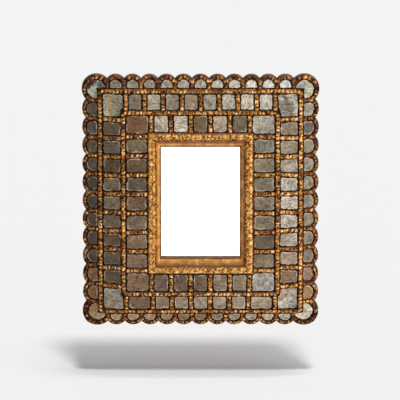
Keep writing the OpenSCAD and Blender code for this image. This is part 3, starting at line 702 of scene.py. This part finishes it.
class TileSet:
    """Gathers tiles into one piece. Each point has the tile's tone, its nearness to the rim and a place for
    streaks."""

    def __init__(self, seed):
        self.chance = random.Random(seed)
        self.points, self.faces, self.tones, self.rims, self.streaks = [], [], [], [], []

    def lay(self, corners, tone, level_at, count=EDGE_POINTS, bands=()):
        """Lays one tile, given its corners and its linear tone. Soft bands cross it: a direction in degrees,
        where it starts and ends in millimetres off the middle, and a tone."""
        chance = self.chance
        edge = outline_of(corners, count)
        middle = edge.mean(0)
        phase = [chance.uniform(0, 6.28) for _ in range(3)]
        angles = np.linspace(0, 2 * pi, count, endpoint=False)
        wobble = sum(np.sin(k * angles + p) for k, p in zip((3, 5, 8), phase)) * WANDER
        nibbled = np.array([chance.choice(BITES) for _ in range(count)])
        outward = edge - middle
        outward /= np.linalg.norm(outward, axis=1)[:, None]
        edge = edge + outward * (wobble - nibbled)[:, None]
        turn = chance.uniform(-MOST_TURN, MOST_TURN)
        spin = np.array([[cos(turn), -sin(turn)], [sin(turn), cos(turn)]])
        edge = (edge - middle) @ spin.T + middle
        tilt = np.array([chance.uniform(-MOST_TILT, MOST_TILT) for _ in range(2)])
        shade, age = chance.uniform(0.9, 1.1), chance.uniform(0.0, 1.0)
        lean = chance.choice((0, 0, QUARTER, chance.uniform(0, pi))) + chance.uniform(-0.15, 0.15)
        warm = chance.uniform(-0.02, 0.08)
        fade, fade_to = chance.uniform(0, 9.0), chance.uniform(0, 6.28)
        base = len(self.points)
        # Rings from the underside to the middle: inset, share of the way inward, height, nearness to the rim
        rings = [(0.0, 0.0, 0.0002, 1.0), (0.0, 0.0, TILE_T - 0.0009, 1.0),
                 (0.0007, 0.0, TILE_T - 0.0001, 0.8)]
        steps = 10 if bands else 3
        rings += [(SLOPE_W, k / steps, TILE_T, 0.0 if k else 0.25) for k in range(steps)]
        for inset, share, height, rim in rings:
            for x, y in (edge - outward * inset) * (1 - share) + middle * share:
                rise = float(np.dot(tilt, (x - middle[0], y - middle[1])))
                if height > 0.001:
                    rise += 0.00012 * sin(x * 260 + phase[0]) * sin(y * 240 + phase[1])
                self.points.append((x, y, level_at(x, y) + height + rise))
                self.rims.append(rim)
        grid = base + np.arange(len(rings) * count).reshape(-1, count)
        after = np.roll(grid, -1, 1)
        self.points.append((*middle, level_at(*middle) + TILE_T))
        self.rims.append(0.0)
        self.faces += quads(grid[:-1], after[:-1], after[1:], grid[1:])
        self.faces += [*zip(grid[-1], after[-1], [len(self.points) - 1] * count), grid[0, ::-1]]
        tint = (1 + warm, 0.98, 0.94 - warm)
        for x, y, _ in self.points[base:]:
            dx, dy = x - middle[0], y - middle[1]
            here = tone
            for direction, start, end, other in bands:
                at = 1000 * (dx * cos(radians(direction)) + dy * sin(radians(direction)))
                at += sin(400 * (dx + dy) + phase[2])
                part = max(0.0, min(1.0, (at - start) / 4 + 0.5, (end - at) / 4 + 0.5))
                here = [a + (b - a) * part for a, b in zip(here, linear(other))]
            level = shade * (1 + fade * (dx * cos(fade_to) + dy * sin(fade_to)))
            self.tones.append([channel * level * share for channel, share in zip(here, tint)] + [age])
            self.streaks.append((dx * cos(lean) + dy * sin(lean) + base * 0.01,
                                 dy * cos(lean) - dx * sin(lean)))

    def settle(self, name, *nodes):
        made = solid(name, [(x, -z, y) for x, y, z in self.points], self.faces)
        made.attributes.new("tone", "FLOAT_COLOR", "POINT").data.foreach_set("color", np.ravel(self.tones))
        mark(made, rim=self.rims)
        loops = np.zeros(len(made.loops), int)
        made.loops.foreach_get("vertex_index", loops)
        uv = made.uv_layers.new(name="streak")
        uv.data.foreach_set("uv", np.array(self.streaks)[loops].astype(np.float32).ravel())
        piece(name, [made], "silvered_tile", *nodes, finish=silvering)


silvering, shader, add = new_material(
    "aged_looking_glass", {"Roughness": 0.3, "Metallic": 0.12, "Specular IOR Level": 0.3})
tone = add("Attribute", attribute_name="tone").outputs
rim = add("Attribute", attribute_name="rim").outputs["Fac"]
place = add("TexCoord").outputs["Object"]
# Streaks 3 to 5 mm apart run one way on each tile; clouds are about 12 mm, and foxing spots 1 to 3 mm
stretched = add("Mapping", {"Vector": add("UVMap", uv_map="streak"), "Scale": (0.24, 1.0, 1.0)})
streaks = add("TexNoise", stretched, 230.0, 4.0, 0.6)
clouds = add("TexNoise", {
    "Vector": place, "Scale": 80.0, "Detail": 6.0, "Roughness": 0.65, "Distortion": 1.0})
spots = add("TexNoise", place, 300.0, 4.0)
stains = add("TexNoise", place, 34.0, 3.0)
both = add("Mix", add("Math MULTIPLY", tone["Alpha"], 0.75), clouds, streaks)
clouded = add("VectorMath SCALE", tone["Color"], add("MapRange", both, 0.36, 0.64, 0.3, 1.7))
stained = add("Mix RGBA", add("MapRange", stains, 0.52, 0.72, 0.0, 0.4), clouded, "#8a6a3c")
foxing = add("Math MULTIPLY", add("MapRange", spots, 0.55, 0.63, 0.0, 0.85), tone["Alpha"])
foxed = add("Mix RGBA", foxing, stained, "#241a10")
# The rim is worn pale on some of its sides, and its very edge is darkened toward near black brown
sides = add("TexNoise", place, 42.0, 4.0)
worn_rim = add("Math MULTIPLY", add("MapRange", rim, 0.12, 0.6),
               add("MapRange", spots, 0.42, 0.55, 0.25, 1.0))
pale_share = add("Math MULTIPLY", worn_rim, add("MapRange", sides, 0.49, 0.59, 0.1, 1.0))
pale = add("Mix RGBA", pale_share, foxed, "#ddd4c7")
dirt = add("MapRange", add("Math MULTIPLY_ADD", clouds, 0.9, rim), 1.25, 1.55, 0.0, 0.85)
join(shader, {"Base Color": add("Mix RGBA", dirt, pale, "#1c130b"),
              "Normal": add("Bump", {"Height": both, "Strength": 0.35, "Distance": 0.0012})})


def cell(u0, v0, u1, v1, side, lean0, lean1):
    """Corners of a tile between two dividers, in plan, turned to its side."""
    g, half = TILE_GAP, (v1 - v0) / 2
    s0, s1 = half * tan(lean0), half * tan(lean1)
    return [turned(side, u, v) for u, v in (
        (u0 + g + s0, v0 + g), (u1 - g + s1, v0 + g), (u1 - g - s1, v1 - g), (u0 + g - s0, v1 - g))]


def ring_of_tiles(name, ring, rows, inside, outside, tones, odd, seed):
    """One row of tiles on each side."""
    tiles = TileSet(seed)
    for side, row in enumerate(rows):
        v0, v1 = inside[1 - side % 2], outside[1 - side % 2]
        lean = leans(row, DROOP.get((ring + "_dividers", side), 1.0))
        for i, (left, right) in enumerate(zip(row, row[1:])):
            corners = cell(left + DIVIDER_W / 2, v0, right - DIVIDER_W / 2, v1, side, *lean[i : i + 2])
            tiles.lay(corners, tone_at(side, i, len(row) - 2, tones, odd), board_level_at)
    tiles.settle(name, *all_sides(ring + "_tiles"))


# The runs of tone along each side are partly each tile's own silvering and partly painted reflection and
# light: lighter on the top and right, darker on the left
ring_of_tiles(
    "inner_ring_tiles", "inner", INNER_ROWS, SIGHT_OUT, RAIL_IN,
    (("#b8ac9a", "#a89884"), ("#7c7464", "#726350"), ("#8c7c66", "#624f3c"), ("#735c48", "#665840")),
    {(0, 1): "#cbc2b2", (0, 2): "#6c553b", (0, 4): "#6e6250", (1, 5): "#5a4e3e", (2, 2): "#614c38",
     (2, 3): "#5a4630", (3, 3): "#62452c", (3, 4): "#4e4230", (3, 5): "#584026"}, 41)
ring_of_tiles(
    "middle_ring_tiles", "middle", (MIDDLE_TOP, MIDDLE_UPRIGHT, MIDDLE_BOTTOM, MIDDLE_UPRIGHT), RIDGE,
    RAIL_LINE - HALF_RAIL,
    (("#7d7261", "#a39581", "#e6e1d6"), ("#7c7061", "#b8b1a5", "#7a6452"),
     ("#a39683", "#a08f7d", "#6b5744"), ("#4e4337", "#766551", "#5c5040")),
    {(0, 1): "#bab09e", (3, 2): "#5c4530", (3, 6): "#4e3822"}, 42)

# Outer ring: one tile of the same old glass under each arch, straight at its foot and nibbled round on top.
# The tiles are painted lighter on the top and right and darker on the left: painted reflection and light over
# each tile's own tone.
OUTER_TONES = (
    ("#8e816e", "#cbbfab", "#f2eee6"), ("#8c8676", "#857d6d", "#6a5a4a"),
    ("#bab3a2", "#84694d", "#b0946f"), ("#54453a", "#463b30", "#4e4437"))
ODD_OUTER = {(1, 1): "#57534a", (1, 9): "#8b6c55", (1, 10): "#a57a54", (3, 0): "#845f3c", (3, 1): "#7a5d40"}
tiles = TileSet(43)
for side in range(4):
    pitch, radius, line = arch_sizes(side)
    foot = RAIL_LINE[1 - side % 2] + RAIL_W / 2 + TILE_GAP
    reach = radius - ARCH_W - TILE_GAP
    wide = (pitch - ARCH_W) / 2 - TILE_GAP
    first = acos(min(1.0, wide / reach))
    arc = arc_of(0, line, reach, first, pi - first, ARC_POINTS)
    for i in range(ARCHES):
        u0 = (i - (ARCHES - 1) / 2) * pitch
        corners = [turned(side, u0 + u, v) for u, v in [(wide, foot)] + arc + [(-wide, foot)]]
        tiles.lay(corners, tone_at(side, i, ARCHES - 1, OUTER_TONES, ODD_OUTER), board_level_at)
tiles.settle("outer_ring_tiles", *all_sides("outer_tiles"))

# Corner tiles: an L-shaped one in each ring's corner and a round one in each lobe, bedded on the pared hips.
# Tones and bands go clockwise from the top right corner, each time for the inner, middle and lobe tile.
CORNER_TONES = (
    ("#a69f92", "#8c8474", "#b2b2a4"), ("#a59d92", "#a19f94", "#c8c3b8"),
    ("#6f583f", "#948575", "#a08f6c"), ("#6d4927", "#928a76", "#c4c4b3"))
CORNER_BANDS = (
    ((), ((90, 12, 40, "#c9c3b4"), (0, 14, 40, "#c2bcad"), (20, -6, 5, "#7a6f5b")), ()),
    ((), ((140, 9, 40, "#a08f7a"), (140, 3, 8, "#aea590")), ()),
    ((), ((60, 8, 40, "#9c9686"),), ((120, 4, 30, "#9a7040"),)),
    ((), ((180, 8, 40, "#b4aa92"), (180, 3, 8, "#b8955c")),
     ((0, 5, 30, "#5f6153"), (135, 10, 30, "#2b2118"))))


def corner_shape(near, far, ends):
    """The corner tile between two lines round the mirror. It starts past the last dividers, whose middles are
    ends."""
    (near_x, near_y), (far_x, far_y) = (v + TILE_GAP for v in near), (v - TILE_GAP for v in far)
    x0, y0 = (v + DIVIDER_W / 2 + TILE_GAP for v in ends)
    return [(x0, near_y), (near_x, near_y), (near_x, y0), (far_x, y0), (far_x, far_y), (x0, far_y)]


reach = LOBE_R - LOBE_RIM_W - TILE_GAP
x, y = (v + RAIL_W / 2 + TILE_GAP for v in RAIL_LINE)
first, last = -acos((x - LOBE.x) / reach), pi - asin((y - LOBE.y) / reach)
shapes = (corner_shape(SIGHT_OUT, RAIL_IN, (INNER_LEVEL[-1], INNER_UPRIGHT[-1])),
          corner_shape(RIDGE, [v - RAIL_W / 2 for v in RAIL_LINE], (MIDDLE_TOP[-1], MIDDLE_UPRIGHT[-1])),
          [(x, y)] + arc_of(*LOBE, reach, first, last, LOBE_POINTS))
beds = (board_level_at, hip_level_at, hip_level_at)
tiles = TileSet(44)
for (sx, sy), tones, all_bands in zip(CORNERS, CORNER_TONES, CORNER_BANDS):
    for shape, tone, bands, bed in zip(shapes, tones, all_bands, beds):
        corners = [(x * sx, y * sy) for x, y in shape][:: sx * sy]
        tiles.lay(corners, linear(tone)[:3], bed, CORNER_POINTS, bands)
tiles.settle("corner_mirror_tiles", "corner_tiles")

# Hanging: two zinc-plated steel straps with rolled eyes, each with a swinging ring of bent wire.
# They and the back panel are held by steel screws, whose round heads are 6.4 mm across and slotted.
zinc, shader, add = new_material("zinc_plated_steel", {"Metallic": 1.0})
spangle = add("TexNoise", add("TexCoord").outputs["Object"], 600.0, 4.0)
colour = add("ValToRGB", spangle, stops=[(0.35, "#8f9297"), (0.5, "#b1b4b8"), (0.65, "#c9cbcd")])
join(shader, {"Base Color": colour, "Roughness": add("MapRange", spangle, 0.3, 0.7, 0.28, 0.5)})
dress(["hanger_strap_left", "hanger_strap_right", "hanger_ring_left", "hanger_ring_right"], zinc)
HEAD_R, HEAD_H, SLOT_W, SLOT_FLOOR, ACROSS = 0.0032, 0.0012, 0.0008, 0.0004, 13
STRAP_T, HANGER_X, HANGER_Y = 0.0012, 0.184, 0.140
BACK = -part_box("back_board_top")[1].y
# Rows of points over the head; those in the middle are the slot's two edges and its floor
slot = SLOT_W / HEAD_R / 2
rows = [-0.98, -0.85, -0.6, -slot - 0.02, -slot, slot, slot + 0.02, 0.6, 0.85, 0.98]
points = []
for row in rows:
    for i in range(ACROSS):
        x = sqrt(1 - row * row) * cos(pi * (1 - i / (ACROSS - 1)))
        dome = HEAD_H * (0.25 + 0.75 * sqrt(max(0.0, 1 - x * x - row * row)))
        points.append((x * HEAD_R, row * HEAD_R, -(min(dome, SLOT_FLOOR) if abs(row) == slot else dome)))
grid = np.arange(len(points)).reshape(-1, ACROSS)
faces = quads(grid[:-1, :-1], grid[1:, :-1], grid[1:, 1:], grid[:-1, 1:])
border = [*grid[0], *grid[1:, -1], *grid[-1, -2::-1], *grid[-2:0:-1, 0]]
base = range(len(points), len(points) + len(border))
points += [(points[i][0], points[i][1], 0.0001) for i in border]
faces += zip(border, border[1:] + border[:1], [*base[1:], base[0]], base)
head = bpy.data.objects.new("screw_head", solid("screw_head", points, [*faces, base]))
screw_tree, add, given = new_tree("screw heads", {"head": None, "seed": 1})
# Each screw has a turn of its own
spin = add("RandomValue", {2: 0.0, 3: pi, "Seed": given["seed"]})
end_tree(add, planted(add, given["Geometry"], given["head"], spin), zinc, smooth=False)


def screws(name, node, places, seed):
    piece(name, [grown(solid(name, places), screw_tree, head=head, seed=seed)], "steel", node)


x, y = (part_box("panel_screws")[1][k] - HEAD_R for k in (0, 2))
screws("slotted_panel_screws", "panel_screws",
       [(s * x, (i - 1) * SIGHT.y * 2 / 3, BACK) for s in (-1, 1) for i in range(3)]
       + [((i - 0.5) * SIGHT.x, s * y, BACK) for s in (-1, 1) for i in range(2)], 3)
screws("slotted_hanger_screws", "hanger_screws",
       [(s * HANGER_X, HANGER_Y - drop, BACK - STRAP_T) for s in (-1, 1) for drop in (0.025, 0.037)], 8)

# Wall bumpers: moulded rubber buttons, tapered a little, with a rounded edge and a moulded dimple.
# The rubber is near black, dull and bloomed grey.
rubber, shader, add = new_material("moulded_rubber", {"Roughness": 0.75})
bloom = add("TexNoise", add("TexCoord").outputs["Object"], 250.0, 5.0)
join(shader, {"Base Color": add("ValToRGB", bloom,
                                stops=[(0.35, "#1b1b1b"), (0.6, "#2b2a29"), (0.75, "#3d3b39")])})
# Radius and distance from the wall, from the board to the dimple
BUTTON = ((0.009, 0.0069), (0.0088, 0.0018), (0.0085, 0.0007), (0.0078, 0.0001), (0.0068, 0.0), (0.0036, 0.0),
          (0.0031, 0.0003), (0.0028, 0.001), (0.0022, 0.0024))
ROUND_STEPS = 40
grid = np.arange(len(BUTTON) * ROUND_STEPS).reshape(-1, ROUND_STEPS)
after = np.roll(grid, -1, 1)
faces = quads(grid[:-1], after[:-1], after[1:], grid[1:])
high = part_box("wall_bumpers")[1]
faces += [grid[0, ::-1], grid[-1]]
turns = [2 * pi * i / ROUND_STEPS for i in range(ROUND_STEPS)]
points = np.array([(r * cos(turn), -out, r * sin(turn)) for r, out in BUTTON for turn in turns])
buttons = []
for sx in (-1, 1):
    for sz in (-1, 1):
        place = (sx * (high.x - BUTTON[0][0]), 0, sz * (high.z - BUTTON[0][0]))
        button = solid("button", points + place, faces)
        button.shade_smooth()
        buttons.append(button)
piece("rubber_wall_bumpers", buttons, "bumper_rubber", "wall_bumpers", finish=rubber)


# Stage: a plain pale floor under the hanging mirror. It is white to glass and metal and dim to soft bounces.
# Light is soft, from above and a little from the front, and the camera looks down at 15 degrees.
def by_way_of_glass(add):
    """Light Path's outputs, and 1 for rays that come by way of metal or glass."""
    rays = add("LightPath").outputs
    return rays, add("Math MAXIMUM", rays["Is Glossy Ray"], rays["Is Transmission Ray"])


FLOOR_Z, VIEW_WIDTH, VIEW_DISTANCE, VIEW_UP = -0.47, 1.036, 16.0, radians(15)
bpy.ops.mesh.primitive_plane_add(size=60, location=(0, 0, FLOOR_Z))
ground = bpy.context.object
ground.name = "studio_floor"
paper, shader, add = new_material("white_paper_floor", {"Base Color": "#d2d2d2", "Roughness": 0.9})
rays, reflected = by_way_of_glass(add)
dim = add("BsdfDiffuse", {"Color": "#a4a4a4"})
white = add("Emission", {"Color": (1, 1, 1, 1), "Strength": 1.0})
bounced = add("MixShader", rays["Is Diffuse Ray"], shader, dim)
join(paper.node_tree.nodes["Material Output"], {"Surface": add("MixShader", reflected, bounced, white)})
ground.data.materials.append(paper)
ground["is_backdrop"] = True

world = bpy.data.worlds.new("studio")
bpy.context.scene.world = world
world.use_nodes = True
add = partial(add_node, world.node_tree)
rays, reflected = by_way_of_glass(add)
seen = add("Math MAXIMUM", reflected, rays["Is Camera Ray"])
join(world.node_tree.nodes["Background"],
     {"Color": (1, 1, 1, 1), "Strength": add("MapRange", seen, 0.0, 1.0, 0.2, 1.0)})


def sun(name, strength, soft, tilt, turn, on_floor=False):
    """A sun lamp, tilted from straight overhead and turned from the front to the right. It lights either the
    floor alone, or all but the floor, which then blocks none of its light."""
    lamp = bpy.data.lights.new(name, "SUN")
    lamp.energy, lamp.angle = strength, radians(soft)
    made = new_object(name, lamp)
    made.rotation_euler = (radians(tilt), 0, radians(turn))
    linked = bpy.data.collections.new(name)
    linked.objects.link(ground)
    linked.collection_objects[0].light_linking.link_state = "INCLUDE" if on_floor else "EXCLUDE"
    made.light_linking.receiver_collection = linked
    if not on_floor:
        made.light_linking.blocker_collection = linked


# Four overhead lamps make the pool of shadow on the floor; the key and the two fills light only the mirror
sun("overhead_front", 2.06, 9, 21.5, 15, on_floor=True)
sun("overhead_wide", 1.05, 26, 15.5, 50, on_floor=True)
sun("overhead", 0.4, 7, 9.4, 75, on_floor=True)
sun("overhead_broad", 0.3, 150, 0, 0, on_floor=True)
sun("soft_key", 1.98, 30, 84, 48)
sun("front_fill", 0.45, 50, 118, 0)
sun("back_fill", 1.4, 60, -62, -25)

lens = bpy.data.cameras.new("camera")
camera = new_object("camera", lens)
bpy.context.scene.camera = camera
lens.sensor_width, lens.lens, lens.clip_end = 36.0, 36.0 * VIEW_DISTANCE / VIEW_WIDTH, 100
aim = Vector((-0.0013, 0.0, -0.005))
camera.location = aim + VIEW_DISTANCE * Vector((0, -cos(VIEW_UP), sin(VIEW_UP)))
camera.rotation_euler = (QUARTER - VIEW_UP, 0, 0)
bpy.context.scene.view_settings.view_transform = "Standard"

low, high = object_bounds()
